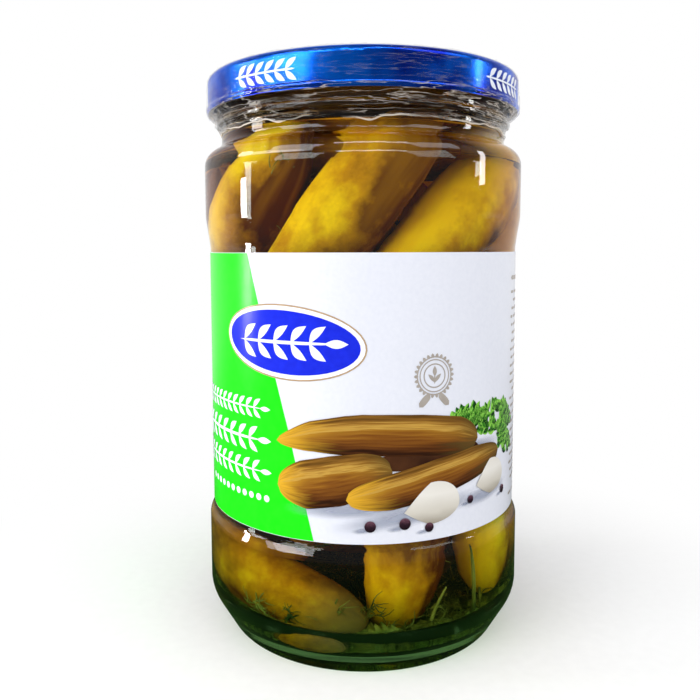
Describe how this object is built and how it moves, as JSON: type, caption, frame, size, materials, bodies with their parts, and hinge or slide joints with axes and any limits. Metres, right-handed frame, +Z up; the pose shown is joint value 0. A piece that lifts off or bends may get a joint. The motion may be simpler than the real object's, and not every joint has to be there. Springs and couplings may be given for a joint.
{
  "type": "jar of pickled cucumbers",
  "caption": "Sealed round glass jar of small pickled cucumbers in brine, with a twist-off steel lid, a clear shrink band over the lid and neck, and a wrap-round paper label.",
  "frame": {"origin": "centre of the ring that the jar stands on, at table level", "axes": "+Z up along the jar's axis, -Y towards the front, where the middle of the label faces, +X to the right"},
  "size_m": [0.0866, 0.0866, 0.1485],
  "materials": {
    "glass": "clear blown soda-lime glass, fire-polished",
    "brine": "clear yellow-brown brine packed with cucumbers, garlic and dill",
    "lid_lacquer": "gloss blue lacquer on tinned steel sheet",
    "shrink_film": "clear heat-shrunk film with fine wrinkles",
    "label_paper": "gloss-varnished printed label paper"
  },
  "bodies": {
    "root": {"glass_jar": "glass", "brine": "brine", "lid": "lid_lacquer", "shrink_band": "shrink_film", "label": "label_paper"}
  },
  "joints": []
}
